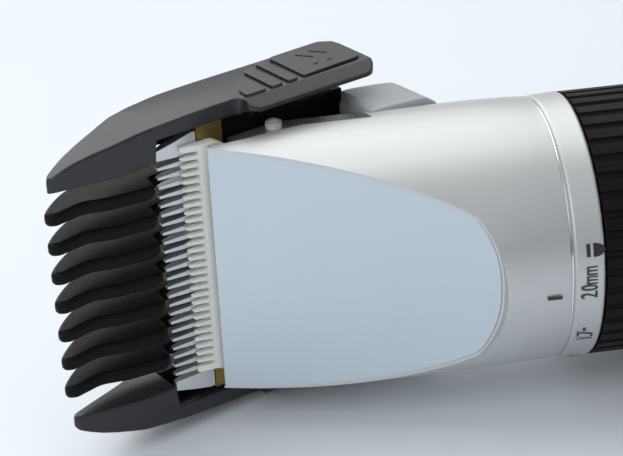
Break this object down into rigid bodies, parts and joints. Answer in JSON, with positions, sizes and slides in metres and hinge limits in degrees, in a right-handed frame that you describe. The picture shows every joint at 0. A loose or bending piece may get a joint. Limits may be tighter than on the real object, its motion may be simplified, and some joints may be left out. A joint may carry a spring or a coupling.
{
  "type": "hair clipper",
  "caption": "Cordless hair clipper with tilted ceramic and steel blades, cut-length ring, ribbed grip and slide-on guide comb.",
  "frame": {"origin": "mouth of the charge jack, on the handle's axis at the tail end", "axes": "+X along the handle's axis out of the tail, so the blades point to -X; -Y is the side of the flat face plate; Z runs along the blade's width"},
  "size_m": [0.1941, 0.0487, 0.056],
  "materials": {
    "silver_housing": "satin silver",
    "silver_ring": "satin silver, black numerals",
    "plate_silver": "satin, blue-grey",
    "heel_grey": "grey satin",
    "chrome_trim": "polished",
    "blade_steel": "ground",
    "ceramic": "white zirconia ceramic",
    "brass": "dull gold",
    "comb_black": "semi-gloss moulded",
    "grip_black": "matt ribbed",
    "black_plastic": "fine moulded grain",
    "dark_nylon": "moulded",
    "white_nylon": "moulded",
    "steel": "plain",
    "cell_wrap": "printed-free wrap",
    "board_green": "solder mask",
    "lens_clear": "clear light pipe",
    "led_red": "diffused",
    "lead_red": "wire insulation"
  },
  "bodies": {
    "housing": {"head_shell": "silver_housing", "face_plate": "plate_silver", "rear_cover": "heel_grey", "cover_screws": "steel", "head_base": "dark_nylon", "base_plate": "brass", "fixed_blade": "blade_steel", "blade_screws": "steel", "comb_studs": "white_nylon", "trim_ring": "chrome_trim", "chassis": "dark_nylon", "motor_can": "steel", "motor_cap": "dark_nylon", "motor_terminals": "brass", "motor_screws": "steel", "shaft_bush": "brass", "detent_ball": "steel", "detent_spring": "steel", "handle_tube": "black_plastic", "grip_sleeve": "grip_black", "battery_cells": "cell_wrap", "battery_holder": "dark_nylon", "battery_contacts": "steel", "motor_leads": "lead_red", "circuit_board": "board_green", "switch_body": "black_plastic", "switch_bezel": "chrome_trim", "charge_led": "led_red", "indicator_lens": "lens_clear", "tail_cap": "black_plastic", "tail_seal": "grip_black", "tail_screws": "steel", "charge_jack": "black_plastic", "jack_contacts": "brass"},
    "dial": {"adjust_ring": "silver_ring", "cam_sleeve": "steel"},
    "cutter_slide": {"cutter_slide": "dark_nylon", "blade_springs": "steel"},
    "moving_blade": {"ceramic_blade": "ceramic", "blade_driver": "dark_nylon"},
    "rotor": {"drive_shaft": "steel", "eccentric_cam": "white_nylon"},
    "switch": {"switch_button": "black_plastic"},
    "comb": {"guide_comb": "comb_black"}
  },
  "joints": [
    {"name": "dial_turn", "type": "hinge", "parent": "housing", "child": "dial", "pos_m": [-0.11, 0, 0], "axis": [-1, 0, 0], "range_deg": [0, 120]},
    {"name": "cutter_adjust", "type": "slide", "parent": "housing", "child": "cutter_slide", "axis": [-0.891, -0.454, 0], "range_m": [0, 0.0012]},
    {"name": "blade_stroke", "type": "slide", "parent": "cutter_slide", "child": "moving_blade", "axis": [0, 0, -1], "range_m": [0, 0.0024]},
    {"name": "motor_turn", "type": "hinge", "parent": "housing", "child": "rotor", "pos_m": [-0.14, 0, 0], "axis": [1, 0, 0], "continuous": true},
    {"name": "comb_slide", "type": "slide", "parent": "housing", "child": "comb", "axis": [-0.891, -0.454, 0], "range_m": [0, 0.03]},
    {"name": "switch_slide", "type": "slide", "parent": "housing", "child": "switch", "axis": [1, 0, 0], "range_m": [0, 0.003]}
  ],
  "couplings": [
    {"joint": "cutter_adjust", "follows": "dial_turn", "m_per_rad": 0.00057296}
  ]
}
